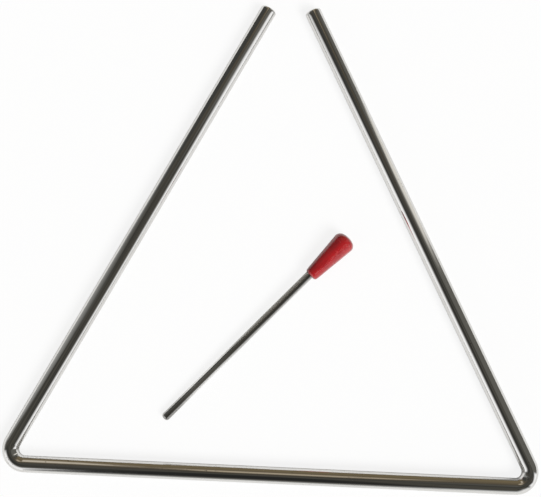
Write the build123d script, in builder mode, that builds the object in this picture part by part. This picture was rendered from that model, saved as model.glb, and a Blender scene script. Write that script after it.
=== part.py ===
from build123d import *
from math import acos, asin, atan2, cos, degrees, hypot, radians, sin, sqrt, tan
import os

# Driving dimensions, in millimetres and degrees.

# The triangle: one round steel rod, bent twice and left open at the top.
rod_diameter = 8.0
base_length = 256.0  # between the two points where the centre lines of the straight runs meet
leg_length = 256.0  # from such a point to the open end
open_gap = 21.3  # between the centres of the two open ends
bend_inner_radius = 3.0
end_rounding = 1.2  # of the rim of each open end

# The beater: a straight steel wire, pressed into a tapered plastic grip.
wire_diameter = 4.0
wire_reach = 98.0  # from the tip to the mouth of the grip
tip_rounding = 1.6
tail_chamfer = 0.5  # on the end inside the grip, to start it in the bore
grip_length = 26.2
grip_mouth_diameter = 6.5
grip_half_taper = 5.3
mouth_rounding = 1.5
dome_radius = 9.0  # of the low dome that ends the grip
dome_rounding = 3.2  # of the edge between the dome and the taper
bore_depth = 20.0
bore_offset = 0.6  # the bore lies this far to the side of the grip's middle
bore_clearance = 0.0  # the wire is held by the press of the bore
tail_clearance = 0.5  # between the wire's end and the bottom of the bore

# How the beater lies inside the triangle, seen from above.
beater_heading = 47.25  # from the direction of the base bar
beater_aside = 9.7  # its middle, to the left of the triangle's middle
beater_below = 8.2  # its middle, below the centre of the circle that touches all three centre lines


# The frame: +X runs along the base bar, +Y to the open end and +Z up. The origin is on the floor,
# below the middle of the outline.
rod_radius = rod_diameter / 2
corner_x = base_length / 2
open_x = open_gap / 2
corner = acos((corner_x - open_x) / leg_length)  # inside the closed corners
rim_radius = rod_radius - end_rounding
end_height = (leg_length - end_rounding) * sin(corner) + rim_radius * cos(corner) + end_rounding
base_y = (rod_radius - end_height) / 2
bend_radius = bend_inner_radius + rod_radius

open_y = base_y + leg_length * sin(corner)
rod_height = Plane.XY.offset(rod_radius)

with BuildPart() as triangle_rod:
    with BuildLine(rod_height) as centre_line:
        FilletPolyline(
            (-open_x, open_y),
            (-corner_x, base_y),
            (corner_x, base_y),
            (open_x, open_y),
            radius=bend_radius,
        )
    with BuildSketch(Plane(origin=centre_line.line @ 0, z_dir=centre_line.line % 0)):
        Circle(rod_radius)
    sweep()
    end_faces = triangle_rod.faces().filter_by(GeomType.PLANE)
    fillet(end_faces.edges(), end_rounding)


wire_radius = wire_diameter / 2
mouth_radius = grip_mouth_diameter / 2
taper = radians(grip_half_taper)
dome_centre = grip_length - dome_radius
beater_length = wire_reach + grip_length


def meets_dome(inset):
    """The distance from the mouth, and the radius, where the taper and the dome meet, both set in by this."""
    offset = (mouth_radius + dome_centre * tan(taper)) * cos(taper) - inset
    run = sqrt((dome_radius - inset) ** 2 - offset ** 2)
    return dome_centre - offset * sin(taper) + run * cos(taper), offset * cos(taper) + run * sin(taper)


# The beater rests on the round of its tip and on the rounded edge of its grip, so the grip's end is raised.
round_x, round_r = meets_dome(dome_rounding)
tip_step = wire_radius - tip_rounding
rest_run = wire_reach + round_x - tip_rounding
rest_rise = round_r - tip_step
rest_angle = atan2(rest_rise, rest_run) + asin((dome_rounding - tip_rounding) / hypot(rest_run, rest_rise))
heading = radians(beater_heading)

# The origin of this plane is on the wire's axis at its tip, and its X axis runs to the grip.
middle_x = -beater_aside
middle_y = base_y + corner_x * tan(corner / 2) - beater_below
tip_x = middle_x - beater_length / 2 * cos(heading)
tip_y = middle_y - beater_length / 2 * sin(heading)
tip_z = tip_rounding * (1 - sin(rest_angle)) + tip_step * cos(rest_angle)
beater_plane = Plane(
    origin=(tip_x, tip_y, tip_z),
    x_dir=(cos(rest_angle) * cos(heading), cos(rest_angle) * sin(heading), sin(rest_angle)),
    z_dir=(-sin(rest_angle) * cos(heading), -sin(rest_angle) * sin(heading), cos(rest_angle)),
)
wire_axis = Axis(beater_plane.origin, beater_plane.x_dir)
wire_length = wire_reach + bore_depth - tail_clearance

with BuildPart() as beater_rod:
    with BuildSketch(Plane(origin=wire_axis.position, z_dir=wire_axis.direction)):
        Circle(wire_radius)
    extrude(amount=wire_length)
    rims = beater_rod.edges().filter_by(GeomType.CIRCLE).sort_by(wire_axis)
    fillet(rims[0], tip_rounding)
    chamfer(rims[-1], tail_chamfer)


grip_plane = Plane(
    origin=beater_plane.from_local_coords((wire_reach, -bore_offset, 0)),
    x_dir=beater_plane.x_dir,
    z_dir=beater_plane.z_dir,
)
grip_axis = Axis(grip_plane.origin, grip_plane.x_dir)
bore_mouth = Plane(
    origin=beater_plane.from_local_coords((wire_reach, 0, 0)),
    z_dir=-beater_plane.x_dir,
)

edge_x, edge_r = meets_dome(0)
dome_angle = degrees(atan2(edge_r, edge_x - dome_centre))

with BuildPart() as beater_grip:
    with BuildSketch(grip_plane):
        with BuildLine():
            mouth = Line((0, 0), (0, mouth_radius))
            Line(mouth @ 1, (edge_x, edge_r))
            dome = CenterArc((dome_centre, 0), dome_radius, start_angle=0, arc_size=dome_angle)
            Line(dome @ 0, mouth @ 0)
        make_face()
    revolve(axis=grip_axis)
    mouth_rim, dome_rim = beater_grip.edges().filter_by(lambda edge: edge.is_closed).sort_by(grip_axis)
    fillet(dome_rim, dome_rounding)
    fillet(mouth_rim, mouth_rounding)
    with Locations(bore_mouth):
        Hole(radius=wire_radius + bore_clearance, depth=bore_depth)


os.makedirs("parts", exist_ok=True)
triangle_rod.part.label = "triangle_rod"
beater_rod.part.label = "beater_rod"
beater_grip.part.label = "beater_grip"
export_step(triangle_rod.part, "parts/triangle_rod.step")
export_step(beater_rod.part, "parts/beater_rod.step")
export_step(beater_grip.part, "parts/beater_grip.step")
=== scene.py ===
from math import acos, asin, atan2, cos, degrees, hypot, pi, radians, sin, sqrt, tan

import bpy
import numpy as np
from mathutils import Matrix, Vector


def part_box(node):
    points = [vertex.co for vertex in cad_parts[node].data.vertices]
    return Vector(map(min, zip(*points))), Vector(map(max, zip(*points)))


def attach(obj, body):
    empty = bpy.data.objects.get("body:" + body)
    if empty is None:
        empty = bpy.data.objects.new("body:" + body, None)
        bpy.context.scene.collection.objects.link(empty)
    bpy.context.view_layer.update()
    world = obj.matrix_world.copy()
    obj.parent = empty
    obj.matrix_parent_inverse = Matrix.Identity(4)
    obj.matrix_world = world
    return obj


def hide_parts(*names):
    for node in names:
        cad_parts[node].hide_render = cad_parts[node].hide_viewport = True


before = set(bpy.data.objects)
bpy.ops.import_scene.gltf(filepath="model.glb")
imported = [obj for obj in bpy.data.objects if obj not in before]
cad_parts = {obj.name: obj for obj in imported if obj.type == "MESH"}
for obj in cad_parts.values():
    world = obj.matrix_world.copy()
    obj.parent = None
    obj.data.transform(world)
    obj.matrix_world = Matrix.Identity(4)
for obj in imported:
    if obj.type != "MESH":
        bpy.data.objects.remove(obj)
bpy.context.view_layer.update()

# The part's driving dimensions, in metres and degrees.
mm = 0.001
rod_radius = 4.0 * mm
base_length = 256.0 * mm  # between the two points where the centre lines of the straight runs meet
leg_length = 256.0 * mm  # from such a point to the open end
open_gap = 21.3 * mm  # between the centres of the two open ends
bend_radius = 7.0 * mm  # of the centre line
end_rounding = 1.2 * mm  # of the rim of each open end

wire_radius = 2.0 * mm
wire_reach = 98.0 * mm  # from the tip to the mouth of the grip
tip_rounding = 1.6 * mm
tail_chamfer = 0.5 * mm  # on the end inside the grip
grip_length = 26.2 * mm
mouth_radius = 3.25 * mm
grip_half_taper = 5.3
mouth_rounding = 1.5 * mm
dome_radius = 9.0 * mm  # of the low dome that ends the grip
dome_rounding = 3.2 * mm  # of the edge between the dome and the taper
bore_depth = 20.0 * mm
bore_offset = 0.6 * mm  # the bore lies this far to the side of the grip's middle
tail_clearance = 0.5 * mm  # between the wire's end and the bottom of the bore

beater_heading = 47.25  # from the direction of the base bar
beater_aside = 9.7 * mm  # its middle, to the left of the triangle's middle
beater_below = 8.2 * mm  # its middle, below the centre of the circle that touches all three centre lines

# The triangle's corners follow from its sides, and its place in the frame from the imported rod.
corner_x = base_length / 2
open_x = open_gap / 2
corner = acos((corner_x - open_x) / leg_length)
base_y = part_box("triangle_rod")[0].y + rod_radius

# The middle of the rounding between the grip's taper and its dome: distance from the mouth, and radius.
taper = radians(grip_half_taper)
dome_centre = grip_length - dome_radius
taper_inset = (mouth_radius + dome_centre * tan(taper)) * cos(taper) - dome_rounding
taper_run = sqrt((dome_radius - dome_rounding) ** 2 - taper_inset ** 2)
round_x = dome_centre - taper_inset * sin(taper) + taper_run * cos(taper)
round_r = taper_inset * cos(taper) + taper_run * sin(taper)

# The beater rests on the round of its tip and on the rounded edge of its grip.
tip_step = wire_radius - tip_rounding
rest_run = wire_reach + round_x - tip_rounding
rest_rise = round_r - tip_step
rest_angle = atan2(rest_rise, rest_run) + asin((dome_rounding - tip_rounding) / hypot(rest_run, rest_rise))
heading = radians(beater_heading)
half_beater = (wire_reach + grip_length) / 2
beater_tip = np.array([
    -beater_aside - half_beater * cos(heading),
    base_y + corner_x * tan(corner / 2) - beater_below - half_beater * sin(heading),
    tip_rounding * (1 - sin(rest_angle)) + tip_step * cos(rest_angle),
])
# Rows: along the beater, to its left and upwards from it.
beater_axes = np.array([
    [cos(rest_angle) * cos(heading), cos(rest_angle) * sin(heading), sin(rest_angle)],
    [-sin(heading), cos(heading), 0.0],
    [-sin(rest_angle) * cos(heading), -sin(rest_angle) * sin(heading), cos(rest_angle)],
])


# Meshes

def ring_angles(count):
    """Angles once round a section, in equal steps, without the first one again."""
    return np.arange(count) * (2 * pi / count)


def fade(values, low, high):
    """Nought below low, one above high, and the smooth cubic 3t^2 - 2t^3 between them."""
    t = np.clip((values - low) / (high - low), 0, 1)
    return t * t * (3 - 2 * t)


def turned(x, radius, angles, aside=0.0):
    """Rings round an axis along X: the distance x, then aside + radius cos a, then radius sin a."""
    y = aside + radius * np.cos(angles)
    z = radius * np.sin(angles)
    return np.stack(np.broadcast_arrays(x, y, z), axis=-1)


def skin(name, rings, unbent):
    """A closed mesh from rings of points, an array of rows by columns by three.

    Each ring is joined to the next by four-sided faces, and the first and last are closed by triangles
    that meet at the ring's middle. The attribute "unbent" holds where each point was before the piece was
    bent and laid down. The faces are turned round if the volume that they enclose comes out negative.
    """
    rows, columns = rings.shape[:2]
    points = np.concatenate([rings.reshape(-1, 3), rings[[0, -1]].mean(1)])
    places = np.concatenate([unbent.reshape(-1, 3), unbent[[0, -1]].mean(1)])
    index = np.arange(rows * columns).reshape(rows, columns)
    after = np.roll(index, -1, axis=1)
    quads = np.stack([index[:-1], after[:-1], after[1:], index[1:]], axis=-1).reshape(-1, 4)
    first = np.stack([after[0], index[0], np.full(columns, rows * columns)], axis=-1)
    last = np.stack([index[-1], after[-1], np.full(columns, rows * columns + 1)], axis=-1)
    triangles = np.concatenate([quads[:, [0, 1, 2]], quads[:, [0, 2, 3]], first, last])
    a, b, c = points[triangles].transpose(1, 0, 2)
    if np.einsum("ij,ij->", a, np.cross(b, c)) < 0:
        quads, first, last = quads[:, ::-1], first[:, ::-1], last[:, ::-1]
    mesh = bpy.data.meshes.new(name)
    mesh.from_pydata(points.tolist(), [], quads.tolist() + first.tolist() + last.tolist())
    mesh.polygons.foreach_set("use_smooth", np.ones(len(mesh.polygons), bool))
    attribute = mesh.attributes.new("unbent", "FLOAT_VECTOR", "POINT")
    attribute.data.foreach_set("vector", places.astype(np.float32).ravel())
    mesh.update()
    piece = bpy.data.objects.new(name, mesh)
    bpy.context.scene.collection.objects.link(piece)
    return piece


def rod_marks():
    """Distances along the centre line from the left open end: nought, then where each run and bend ends."""
    setback = bend_radius / tan(corner / 2)
    leg_run = leg_length - setback
    bend_run = bend_radius * (pi - corner)
    base_run = base_length - 2 * setback
    return np.cumsum([0.0, leg_run, bend_run, base_run, bend_run, leg_run])


def rod_path(distance):
    """The point, the heading and the share of bending at each distance along the rod's centre line.

    The line comes down the left leg, turns left round an arc, runs along the base bar, turns left again
    and goes up the right leg. A straight run adds its length times its direction. An arc adds the bend
    radius times the change in the sine of the heading to x, and takes that radius times the change in its
    cosine from y. The share is one in an arc and fades out at its ends, from a rod's radius inside to a
    rod's width outside.
    """
    marks = rod_marks()
    into = [np.clip(distance - low, 0, high - low) for low, high in zip(marks[:-1], marks[1:])]
    headings = (pi + corner, 0.0, pi - corner)
    angle = headings[0] + (into[1] + into[3]) / bend_radius
    open_left = np.array([-open_x, base_y + leg_length * sin(corner)])
    point = np.repeat(open_left[None], len(distance), axis=0)
    for run, direction in zip(into[0::2], headings):
        point += run[:, None] * np.array([cos(direction), sin(direction)])
    for bend, start in zip(into[1::2], headings[:2]):
        end = start + bend / bend_radius
        point[:, 0] += bend_radius * (np.sin(end) - sin(start))
        point[:, 1] -= bend_radius * (np.cos(end) - cos(start))
    rod_width = 2 * rod_radius
    share = np.zeros(len(distance))
    for low, high in marks[1:5].reshape(2, 2):
        share += fade(distance, low - rod_width, low + rod_radius)
        share -= fade(distance, high - rod_radius, high + rod_width)
    return point, angle, share


def end_profile(radius, rounding, face_rows, round_rows, mark_depth=0.0, mark_pitch=0.3 * mm):
    """Depth behind the end plane and radius, from the middle of an end out to the full radius.

    The flat face carries turning marks, a cosine of the radius that fades out at the middle and at the
    rim. The rim is a quarter circle: with the radius r and the rounding c, it is r - c + c sin t at the
    depth c - c cos t.
    """
    flat = radius - rounding
    r = np.linspace(flat / face_rows, flat, face_rows)
    cut = mark_depth * (1 - np.cos(2 * pi * r / mark_pitch)) / 2 * fade(r, 0, 2 * mark_pitch)
    t = np.linspace(0, pi / 2, round_rows + 1)[1:]
    depth = np.concatenate([cut * fade(flat - r, 0, mark_pitch), rounding * (1 - np.cos(t))])
    return depth, np.concatenate([r, flat + rounding * np.sin(t)])


def make_triangle_rod():
    """The rod: a round section carried along the centre line of the bent rod.

    A point is the centre line's point plus the section's radius times (cos a across the rod to the inside
    of the triangle, sin a upwards). In a bend the outer half is drawn flatter: the radius loses a small
    share of itself, times the square of cos a. In the rounded ends the radius falls to nought.
    """
    columns = 112
    leg_rows = 150
    bend_rows = 56
    base_rows = 150
    flattening = 0.02
    end_inset = 0.005 * mm
    marks = rod_marks()
    end_depth, end_radius = end_profile(
        rod_radius, end_rounding, face_rows=34, round_rows=14, mark_depth=0.012 * mm, mark_pitch=0.32 * mm
    )
    start = marks[0] + end_inset + end_depth
    finish = marks[5] - end_inset - end_depth[::-1]
    middle = np.concatenate([
        np.linspace(start[-1], marks[1], leg_rows)[1:],
        np.linspace(marks[1], marks[2], bend_rows)[1:],
        np.linspace(marks[2], marks[3], base_rows)[1:],
        np.linspace(marks[3], marks[4], bend_rows)[1:],
        np.linspace(marks[4], finish[0], leg_rows)[1:-1],
    ])
    distance = np.concatenate([start, middle, finish])
    radius = np.concatenate([end_radius, np.full(len(middle), rod_radius), end_radius[::-1]])
    point, angle, share = rod_path(distance)
    a = ring_angles(columns)
    outer = np.clip(-np.cos(a), 0, 1) ** 2
    section = radius[:, None] * (1 - flattening * share[:, None] * outer)
    across = section * np.cos(a)
    up = section * np.sin(a)
    inside = np.stack([-np.sin(angle), np.cos(angle)], axis=-1)
    rings = np.concatenate([
        point[:, None, :] + across[:, :, None] * inside[:, None, :],
        rod_radius + up[:, :, None],
    ], axis=-1)
    along = np.repeat(distance[:, None] - marks[5] / 2, columns, axis=1)
    return skin("triangle_rod_plated", rings, np.stack([along, across, up], axis=-1))


def on_beater(local):
    """Points along, left of and above the wire's axis from its tip, laid down where the beater lies."""
    return beater_tip + local @ beater_axes


def make_beater_wire():
    """The wire: a profile of radius against distance, turned round the wire's axis.

    The tip is a quarter circle that leaves a small flat, and the tail has a chamfer. Between them the
    radius has a faint ripple from drawing, the sum of two sines, which dies away before the grip.
    """
    columns = 72
    straight_rows = 120
    tail_rows = 8
    ripple = 0.006 * mm
    ripple_length = 9.0 * mm
    slow_ripple_length = 1.618 * ripple_length
    slow_ripple_phase = 1.0
    ripple_fade = 8.0 * mm
    length = wire_reach + bore_depth - tail_clearance
    depth, tip_radius = end_profile(wire_radius, tip_rounding, face_rows=8, round_rows=16)
    straight = np.linspace(tip_rounding, length - tail_chamfer, straight_rows)[1:]
    turns = 2 * pi * straight
    wave = np.sin(turns / ripple_length) + np.sin(turns / slow_ripple_length + slow_ripple_phase)
    dying = 1 - fade(straight, wire_reach - ripple_fade, wire_reach)
    drawn = wire_radius - ripple * (1 + wave / 2) * dying
    tail = (wire_radius - tail_chamfer) * np.linspace(1, 0, tail_rows)[:-1]
    x = np.concatenate([depth, straight, np.full(len(tail), length)])
    r = np.concatenate([tip_radius, drawn, tail])
    local = turned(x[:, None], r[:, None], ring_angles(columns))
    return skin("beater_wire", on_beater(local), local)


def make_beater_grip():
    """The grip: a dome, a taper and a rounded mouth turned round the grip's axis, with a bore beside it.

    The dome and the rounding at its edge are arcs of a radius R about a middle at x and r: the radius is
    r + R sin t at the distance x + R cos t. They meet each other and the taper where their slopes agree.
    The mouth is a height over the end plane: nought inside its rounding, and the rounding's quarter
    circle outside it. Its points run on straight lines from the rim to the bore's edge. Two moulding
    lines stand out at the sides as bell curves of the arc length, and the gate left a small dish in the
    dome.
    """
    columns = 288
    arc_rows = 40
    side_rows = 90
    mouth_rows = 40
    bore_rows = 24
    bottom_rows = 6
    pole_angle = 0.01  # in radians, from the dome's middle out to its first ring
    seam_height = 0.05 * mm
    seam_width = 0.12 * mm
    seam_mouth_fade = 1.5 * mm
    seam_dome_gap = 1.0 * mm
    gate_radius = 0.9 * mm
    gate_flat = 0.6 * gate_radius
    gate_depth = 0.12 * mm
    bore_ease = 0.04 * mm
    skin_inset = 0.01 * mm
    bore_r = wire_radius + bore_ease
    a = ring_angles(columns)

    join = atan2(round_r, round_x - dome_centre)
    t = np.linspace(pole_angle, join, arc_rows)
    dome_r = dome_radius * np.sin(t)
    dish = gate_depth * (1 - fade(dome_r, gate_flat, gate_radius))
    dome_x = dome_centre + dome_radius * np.cos(t) - dish
    t = np.linspace(join, pi / 2 + taper, arc_rows)[1:]
    edge_x = round_x + dome_rounding * np.cos(t)
    edge_r = round_r + dome_rounding * np.sin(t)
    side_x = np.linspace(edge_x[-1], mouth_rounding, side_rows)[1:]
    side_r = mouth_radius + side_x * tan(taper)
    x = np.concatenate([dome_x, edge_x, side_x])
    r = np.concatenate([dome_r, edge_r, side_r]) - skin_inset

    past_mouth = fade(x, mouth_rounding, mouth_rounding + seam_mouth_fade)
    past_side = fade(x, grip_length - dome_rounding, grip_length - seam_dome_gap)
    from_seam = np.abs((a + pi / 2) % pi - pi / 2)
    bell = np.exp(-((r[:, None] * from_seam) / seam_width) ** 2)
    seam = seam_height * bell * (past_mouth * (1 - past_side))[:, None]
    outside = turned(x[:, None], r[:, None] + seam, a)

    share = np.linspace(0, 1, mouth_rows)[1:, None]
    rim_r = r[-1]
    mouth_y = (1 - share) * rim_r * np.cos(a) + share * (bore_offset + bore_r * np.cos(a))
    mouth_z = ((1 - share) * rim_r + share * bore_r) * np.sin(a)
    past = np.clip(np.hypot(mouth_y, mouth_z) - (rim_r - mouth_rounding), 0, mouth_rounding)
    mouth_x = mouth_rounding - np.sqrt(mouth_rounding ** 2 - past ** 2)
    mouth = np.stack([mouth_x, mouth_y, mouth_z], axis=-1)

    depth = np.linspace(0, 1, bore_rows)[1:, None]
    wall = turned(mouth_x[-1] + depth * (bore_depth - mouth_x[-1]), bore_r, a, bore_offset)
    inner = np.linspace(1, 0, bottom_rows)[1:-1, None]
    bottom = turned(bore_depth, inner * bore_r, a, bore_offset)
    local = np.concatenate([outside, mouth, wall, bottom])
    return skin("beater_grip_moulded", on_beater(local + [wire_reach, -bore_offset, 0.0]), local)


# Shader maths

class Shade:
    """A socket of a node tree. An expression on sockets and numbers adds Math nodes to the tree."""

    def __init__(self, tree, socket=None):
        self.tree = tree
        self.socket = socket

    def make(self, kind, settings=None, sockets=None, output=0):
        """A node of this type. Its settings are set first, then its sockets get their values or links."""
        node = self.tree.nodes.new(kind)
        for name, value in (settings or {}).items():
            setattr(node, name, value)
        for name, value in (sockets or {}).items():
            if isinstance(value, Shade):
                self.tree.links.new(value.socket, node.inputs[name])
            else:
                node.inputs[name].default_value = value
        return Shade(self.tree, node.outputs[output] if node.outputs else None)

    def math(self, operation, *values):
        """A Math node with this operation on these values."""
        return self.make("ShaderNodeMath", {"operation": operation}, dict(enumerate(values)))

    def __add__(self, other):
        return self.math("ADD", self, other)

    def __radd__(self, other):
        return self.math("ADD", other, self)

    def __sub__(self, other):
        return self.math("SUBTRACT", self, other)

    def __rsub__(self, other):
        return self.math("SUBTRACT", other, self)

    def __mul__(self, other):
        return self.math("MULTIPLY", self, other)

    def __rmul__(self, other):
        return self.math("MULTIPLY", other, self)

    def __abs__(self):
        return self.math("ABSOLUTE", self)

    def rise(self, low, high):
        """Nought below low and one above high, with a smooth step between."""
        settings = {"interpolation_type": "SMOOTHSTEP"}
        return self.make("ShaderNodeMapRange", settings, {"Value": self, "From Min": low, "From Max": high})

    def fall(self, low, high):
        """One below low and nought above high, with a smooth step between."""
        return 1 - self.rise(low, high)

    def blend(self, under, over):
        """The colour under where this is nought, and the colour over where it is one."""
        return self.make("ShaderNodeMix", {"data_type": "RGBA"}, {0: self, 6: under, 7: over}, output=2)

    def stretch(self, factors):
        """This vector with each part multiplied by its own factor."""
        return self.make("ShaderNodeVectorMath", {"operation": "MULTIPLY"}, {0: self, 1: factors})

    def noise(self, scale, detail=2.0, roughness=0.5):
        """Cloudy noise from nought to one at this vector, with about scale clouds to each unit of it."""
        sockets = {"Vector": self, "Scale": scale, "Detail": detail, "Roughness": roughness}
        return self.make("ShaderNodeTexNoise", {}, sockets)

    def specks(self, scale):
        """The distance to the nearest of scattered points, in the size of their cells."""
        return self.make("ShaderNodeTexVoronoi", {}, {"Vector": self, "Scale": scale})

    def parts(self):
        """The three parts of this vector."""
        split = self.make("ShaderNodeSeparateXYZ", {}, {0: self}).socket.node
        return [Shade(self.tree, socket) for socket in split.outputs]

    def relief(self, distance):
        """The normal of a surface that this height, times the distance, raises."""
        return self.make("ShaderNodeBump", {}, {"Height": self, "Distance": distance})


def new_tree(owner):
    """The empty node tree of a material or a world."""
    owner.use_nodes = True
    owner.node_tree.nodes.clear()
    return Shade(owner.node_tree)


def new_finish(name):
    """An empty material, as its node tree and the place of the piece before it was bent."""
    material = bpy.data.materials.new(name)
    tree = new_tree(material)
    place = tree.make("ShaderNodeAttribute", {"attribute_name": "unbent"}, output="Vector")
    return material, tree, place


def surface(tree, **sockets):
    """Ends a material in one principled shader."""
    named = {name.replace("_", " "): value for name, value in sockets.items()}
    shader = tree.make("ShaderNodeBsdfPrincipled", {}, named)
    tree.make("ShaderNodeOutputMaterial", {}, {"Surface": shader})


# Finishes. Each mark is a mask from nought to one. A colour, a roughness or a height is made of the masks,
# each times its amount. A noise scale times its stretch counts the clouds to the metre, and the heights and
# depths of the marks are shares of relief_height.
relief_height = 0.05 * mm


def plated_finish():
    """Bright plating: hand smudges, polishing lines along the rod, pits, and dents inside the base bar."""
    bright = (0.74, 0.735, 0.72, 1)
    worn = (0.60, 0.59, 0.565, 1)
    pitted = (0.16, 0.14, 0.12, 1)
    smudge_stretch = (0.55, 1.0, 1.0)
    line_stretch = (28.0, 3400.0, 3400.0)
    fine_line_stretch = (55.0, 9000.0, 9000.0)
    wave_stretch = (0.6, 1.0, 1.0)
    struck = 30 * mm  # from the middle of the base bar
    unstruck = 62 * mm
    material, tree, place = new_finish("bright_plating")
    along, across, _ = place.parts()
    smudge = place.stretch(smudge_stretch).noise(scale=70.0, detail=4.0, roughness=0.6)
    smudge = smudge.rise(low=0.48, high=0.72)
    lines = place.stretch(line_stretch).noise(scale=1.0, roughness=0.6)
    fine_lines = place.stretch(fine_line_stretch).noise(scale=1.0, detail=1.0)
    waves = place.stretch(wave_stretch).noise(scale=85.0, detail=1.0)
    dented = abs(along).fall(low=struck, high=unstruck) * across.rise(low=-1 * mm, high=3 * mm)
    dents = place.noise(scale=620.0, roughness=0.55).rise(low=0.60, high=0.68) * dented
    pitted_areas = place.noise(scale=95.0, detail=1.0).rise(low=0.52, high=0.62)
    pits = place.specks(scale=420.0).fall(low=0.05, high=0.11) * pitted_areas
    smudge_wear = 0.35
    dent_wear = 0.5
    colour = (smudge * smudge_wear + dents * dent_wear).blend(bright, worn)
    colour = pits.blend(colour, pitted)
    polish = 0.055
    smudge_dulling = 0.07
    line_dulling = 0.05
    dent_dulling = 0.16
    pit_dulling = 0.2
    roughness = polish + smudge * smudge_dulling + lines.rise(low=0.55, high=0.8) * line_dulling
    roughness += dents * dent_dulling + pits * pit_dulling
    line_height = 0.006
    fine_line_height = 0.002
    pit_depth = 0.25
    dent_depth = 0.08
    height = waves + lines * line_height + fine_lines * fine_line_height
    height -= pits * pit_depth + dents * dent_depth
    surface(
        tree,
        Base_Color=colour,
        Metallic=1.0,
        Roughness=roughness,
        Normal=height.relief(relief_height),
    )
    return material


def drawn_wire_finish():
    """Drawn steel wire: lines along it, dull clouds, a worn tip, nicks and a stretch burnished by striking.

    Towards the grip its left side is painted pale and made rough, a painted sheen that lightens that side.
    It darkens in a ring where it enters the grip.
    """
    steel = (0.56, 0.555, 0.54, 1)
    dull = (0.36, 0.35, 0.33, 1)
    worn = (0.47, 0.465, 0.45, 1)
    burnished = (0.88, 0.875, 0.86, 1)
    # painted sheen: the pale colour that lightens the wire's left side towards the grip
    painted_sheen_pale = (0.66, 0.655, 0.63, 1)
    line_stretch = (22.0, 4200.0, 4200.0)
    cloud_stretch = (0.35, 1.0, 1.0)
    ring_start = wire_reach - 3.0 * mm
    ring_full = wire_reach - 0.6 * mm
    material, tree, place = new_finish("bright_drawn_wire")
    along, across, _ = place.parts()
    lines = place.stretch(line_stretch).noise(scale=1.0, detail=3.0, roughness=0.65)
    clouds = place.stretch(cloud_stretch).noise(scale=240.0, detail=3.0, roughness=0.6)
    at_tip = along.fall(low=1.5 * mm, high=8 * mm)
    at_grip = along.rise(low=ring_start, high=ring_full)
    nicks = place.noise(scale=900.0).rise(low=0.62, high=0.70) * along.fall(low=24 * mm, high=42 * mm)
    struck = along.rise(low=8 * mm, high=20 * mm) * along.fall(low=34 * mm, high=54 * mm)
    # Painted sheen: the left side towards the grip is coloured pale, standing in for light on that side,
    # and made rough.
    painted_sheen_side = along.rise(low=36 * mm, high=72 * mm) * across.rise(low=-0.1 * mm, high=0.7 * mm)
    cloud_dulling = 0.55
    ring_darkening = 0.4
    darkened = clouds.rise(low=0.45, high=0.75) * cloud_dulling + at_grip * ring_darkening
    colour = darkened.blend(steel, dull)
    colour = at_tip.blend(colour, worn)
    colour = struck.blend(colour, burnished)
    # the painted sheen lightens the left side towards the grip
    colour = painted_sheen_side.blend(colour, painted_sheen_pale)
    polish = 0.11
    line_roughness = 0.08
    cloud_roughness = 0.06
    nick_roughness = 0.14
    side_roughness = 0.6
    tip_roughness = 0.1
    roughness = polish + lines.rise(low=0.4, high=0.8) * line_roughness
    roughness += clouds.rise(low=0.5, high=0.75) * cloud_roughness + nicks * nick_roughness
    roughness += painted_sheen_side * side_roughness + at_tip * tip_roughness
    line_height = 0.03
    nick_depth = 0.12
    height = lines * line_height - nicks * nick_depth
    surface(
        tree,
        Base_Color=colour,
        Metallic=1.0,
        Roughness=roughness,
        Normal=height.relief(relief_height),
    )
    return material


def red_moulding_finish():
    """Red plastic under a glossy skin: faint flow marks, a soft grain, scuffs, and grime at the mouth."""
    red = (0.37, 0.011, 0.014, 1)
    deep_red = (0.26, 0.008, 0.011, 1)
    pale_red = (0.50, 0.05, 0.05, 1)
    grimy = (0.11, 0.012, 0.012, 1)
    flow_stretch = (0.4, 1.0, 1.0)
    scuff_stretch = (1.0, 0.25, 1.0)
    material, tree, place = new_finish("red_moulded_plastic")
    along = place.parts()[0]
    flow = place.stretch(flow_stretch).noise(scale=260.0, detail=3.0, roughness=0.55)
    grain = place.noise(scale=1500.0)
    scuffs = place.stretch(scuff_stretch).noise(scale=700.0, detail=3.0, roughness=0.6)
    scuffs = scuffs.rise(low=0.60, high=0.70) * along.rise(low=9 * mm, high=18 * mm)
    grime = along.fall(low=0.1 * mm, high=0.9 * mm) * place.noise(scale=500.0).rise(low=0.3, high=0.7)
    scuff_paling = 0.25
    grime_darkening = 0.6
    colour = flow.rise(low=0.35, high=0.75).blend(red, deep_red)
    colour = (scuffs * scuff_paling).blend(colour, pale_red)
    colour = (grime * grime_darkening).blend(colour, grimy)
    moulded = 0.22
    flow_roughness = 0.08
    scuff_roughness = 0.18
    grime_roughness = 0.2
    roughness = moulded + flow * flow_roughness + scuffs * scuff_roughness + grime * grime_roughness
    grain_height = 0.012
    flow_height = 0.06
    scuff_depth = 0.01
    height = grain * grain_height + flow * flow_height - scuffs * scuff_depth
    surface(
        tree,
        Base_Color=colour,
        Roughness=roughness,
        IOR=1.56,
        Coat_Weight=0.6,
        Coat_Roughness=0.12,
        Normal=height.relief(relief_height),
    )
    return material


# Floor, light and camera

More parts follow.
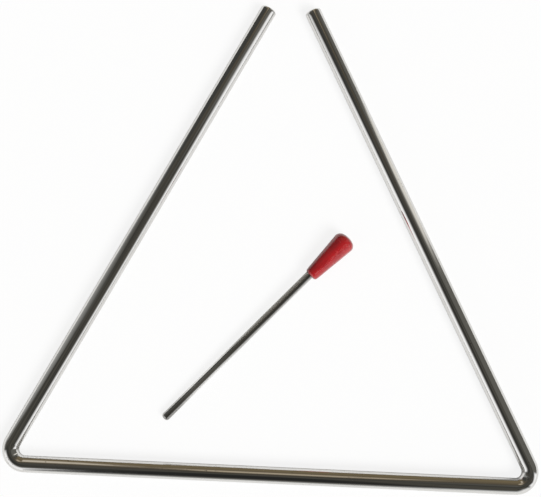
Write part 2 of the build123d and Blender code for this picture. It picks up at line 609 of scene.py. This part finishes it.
def make_floor():
    """A wide pale table top: four corners, flat at the height where the object rests.

    Where it is seen directly it is mostly plain white, so that its shadows are light. Where it is mirrored
    a small part of it is plain white. The rest is pale paint.
    """
    reach = 30.0
    seen_share = 0.86
    mirrored_share = 0.1
    pale = (0.88, 0.88, 0.88, 1)
    corners = [(-reach, -reach, 0), (reach, -reach, 0), (reach, reach, 0), (-reach, reach, 0)]
    mesh = bpy.data.meshes.new("table_top")
    mesh.from_pydata(corners, [], [(0, 1, 2, 3)])
    floor = bpy.data.objects.new("table_top", mesh)
    bpy.context.scene.collection.objects.link(floor)
    material = bpy.data.materials.new("pale_table")
    tree = new_tree(material)
    paint = tree.make("ShaderNodeBsdfDiffuse", {}, {"Color": pale})
    white = tree.make("ShaderNodeEmission", {}, {"Color": (1, 1, 1, 1), "Strength": 1.0})
    rays = tree.make("ShaderNodeLightPath").socket.node.outputs
    camera, glossy, through = [
        Shade(tree.tree, rays[name]) for name in ("Is Camera Ray", "Is Glossy Ray", "Is Transmission Ray")
    ]
    mirrored = glossy.math("MAXIMUM", glossy, through)
    share = camera.math("MAXIMUM", camera * seen_share, mirrored * mirrored_share)
    mixed = tree.make("ShaderNodeMixShader", {}, {0: share, 1: paint, 2: white})
    tree.make("ShaderNodeOutputMaterial", {}, {"Surface": mixed})
    mesh.materials.append(material)


def make_room():
    """The room, as a colour for each direction, which the plating mirrors.

    Overhead it is a dark mottled grey, and it turns pale towards the floor by the cube of a smooth step.
    Patches with soft edges lie over that. Each is a product of smooth steps of the height and of the
    bearing, which is counted from +X towards +Y, all in degrees. They are a brown wall behind with a warm
    strip and a lit end, a grey wall and a dark corner at the left, a grey wall with a doorway at the
    right, a dark patch above the front, and windows at the left, at the right and in front. The tops of
    the last two slope.
    """
    dark_grey = (0.038, 0.039, 0.036, 1)
    warm_grey = (0.092, 0.086, 0.072, 1)
    pale = (0.75, 0.75, 0.74, 1)
    brown = (0.19, 0.15, 0.09, 1)
    deep_brown = (0.08, 0.07, 0.055, 1)
    sand = (0.46, 0.39, 0.29, 1)
    light_sand = (0.62, 0.55, 0.45, 1)
    mid_grey = (0.36, 0.36, 0.35, 1)
    corner_grey = (0.06, 0.06, 0.055, 1)
    wall_grey = (0.14, 0.135, 0.12, 1)
    doorway_white = (0.85, 0.82, 0.76, 1)
    near_black = (0.025, 0.025, 0.024, 1)
    daylight = (1.15, 1.15, 1.16, 1)
    soft_daylight = (1.0, 1.0, 1.0, 1)
    world = bpy.data.worlds.new("studio_room")
    bpy.context.scene.world = world
    tree = new_tree(world)
    direction = tree.make("ShaderNodeTexCoord", output="Generated")
    x, y, z = direction.parts()
    height = z.math("ARCSINE", z) * degrees(1)

    def away(bearing):
        """How many degrees a direction lies from this bearing."""
        c = cos(radians(bearing))
        s = sin(radians(bearing))
        return abs(x.math("ARCTAN2", y * c - x * s, x * c + y * s) * degrees(1))

    def beside(bearing, full, none):
        """One within full degrees of a bearing, and nought past none degrees from it."""
        return away(bearing).fall(full, none)

    def above(none, full):
        """Nought up to the height none, and one from the height full."""
        return height.rise(none, full)

    def below(full, none):
        """One up to the height full, and nought from the height none."""
        return height.fall(full, none)

    def below_slope(bearing, slope, full, none):
        """Below a top that climbs by the slope, in degrees for each degree from the bearing."""
        return (height - away(bearing) * slope).fall(full, none)

    mottle = direction.noise(scale=5.0, detail=3.0).rise(low=0.35, high=0.65)
    colour = mottle.blend(dark_grey, warm_grey)
    horizon = below(full=-10, none=50)
    colour = (horizon * horizon * horizon).blend(colour, pale)
    back_wall = beside(bearing=88, full=22, none=38)
    colour = back_wall.blend(colour, above(none=20, full=85).blend(brown, deep_brown))
    strip = beside(bearing=86, full=9, none=14) * above(none=48, full=56) * below(full=66, none=76)
    colour = strip.blend(colour, sand)
    lit_end = beside(bearing=105, full=3.5, none=6.5) * above(none=22, full=34) * below(full=48, none=60)
    colour = lit_end.blend(colour, light_sand)
    left_wall = beside(bearing=160, full=2, none=18) * beside(bearing=140, full=20, none=25)
    colour = (left_wall * below(full=0, none=95)).blend(colour, mid_grey)
    dark_corner = beside(bearing=134, full=8, none=14) * below(full=40, none=60)
    colour = dark_corner.blend(colour, corner_grey)
    right_wall = beside(bearing=20, full=20, none=32) * below(full=65, none=88)
    colour = right_wall.blend(colour, wall_grey)
    doorway = beside(bearing=33.5, full=2.5, none=5) * below(full=30, none=66)
    colour = doorway.blend(colour, doorway_white)
    dark_front = beside(bearing=-92, full=10, none=18) * above(none=25, full=40) * below(full=70, none=82)
    colour = dark_front.blend(colour, near_black)
    left_window = beside(bearing=-137, full=33.5, none=36.5) * beside(bearing=-120, full=40, none=60)
    colour = (left_window * below(full=22, none=52)).blend(colour, daylight)
    right_window = beside(bearing=-22, full=13, none=20)
    right_window *= below_slope(bearing=-27, slope=1.2, full=4, none=36)
    colour = right_window.blend(colour, daylight)
    front_window = beside(bearing=-62, full=16, none=22)
    front_window *= below_slope(bearing=-56, slope=-0.8, full=10, none=54)
    colour = front_window.blend(colour, soft_daylight)
    shine = tree.make("ShaderNodeBackground", {}, {"Color": colour, "Strength": 1.0})
    tree.make("ShaderNodeOutputWorld", {}, {"Surface": shine})


def make_lamp(name, level, width, tilt, bearing):
    """A distant lamp of this angular width, tilted from straight above towards a bearing.

    At level one it lights a surface that faces it so that a colour shows as written. Nothing mirrors it.
    """
    lamp = bpy.data.lights.new(name, "SUN")
    lamp.energy = level * pi
    lamp.angle = radians(width)
    holder = bpy.data.objects.new(name, lamp)
    bpy.context.scene.collection.objects.link(holder)
    holder.rotation_euler = (radians(tilt), 0, radians(bearing + 90))
    holder.visible_glossy = False


def make_camera():
    """The photograph's camera: its place, and its turns about its own axes from looking straight down."""
    image_width = 541
    focal_length = 1132  # in pixels of that width
    sensor_width = 36
    nearest = 0.01
    farthest = 100
    tilt = Matrix.Rotation(radians(6.281), 4, "X")
    swing = Matrix.Rotation(radians(-0.212), 4, "Y")
    roll = Matrix.Rotation(radians(2.671), 4, "Z")
    place = Matrix.Translation(Vector((-6.73, -64.387, 549.577)) * mm)
    camera = bpy.data.cameras.new("camera")
    camera.sensor_width = sensor_width
    camera.lens = focal_length / image_width * sensor_width
    camera.clip_start = nearest
    camera.clip_end = farthest
    holder = bpy.data.objects.new("camera", camera)
    bpy.context.scene.collection.objects.link(holder)
    holder.matrix_world = place @ tilt @ swing @ roll
    bpy.context.scene.camera = holder


def place_piece(piece, body, node, finish):
    """Gives a piece its finish in a new material slot, sets it under its body, and hides the imported node
    that it stands for.
    """
    piece.data.materials.append(finish)
    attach(piece, body)
    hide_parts(node)


place_piece(make_triangle_rod(), "triangle", "triangle_rod", plated_finish())
place_piece(make_beater_wire(), "beater", "beater_rod", drawn_wire_finish())
place_piece(make_beater_grip(), "beater", "beater_grip", red_moulding_finish())
make_floor()
make_room()
make_lamp("broad_lamp", level=1.03, width=28, tilt=43, bearing=-43)
make_lamp("ceiling_fill", level=0.05, width=140, tilt=0, bearing=0)
make_camera()
bpy.context.scene.view_settings.view_transform = "Standard"
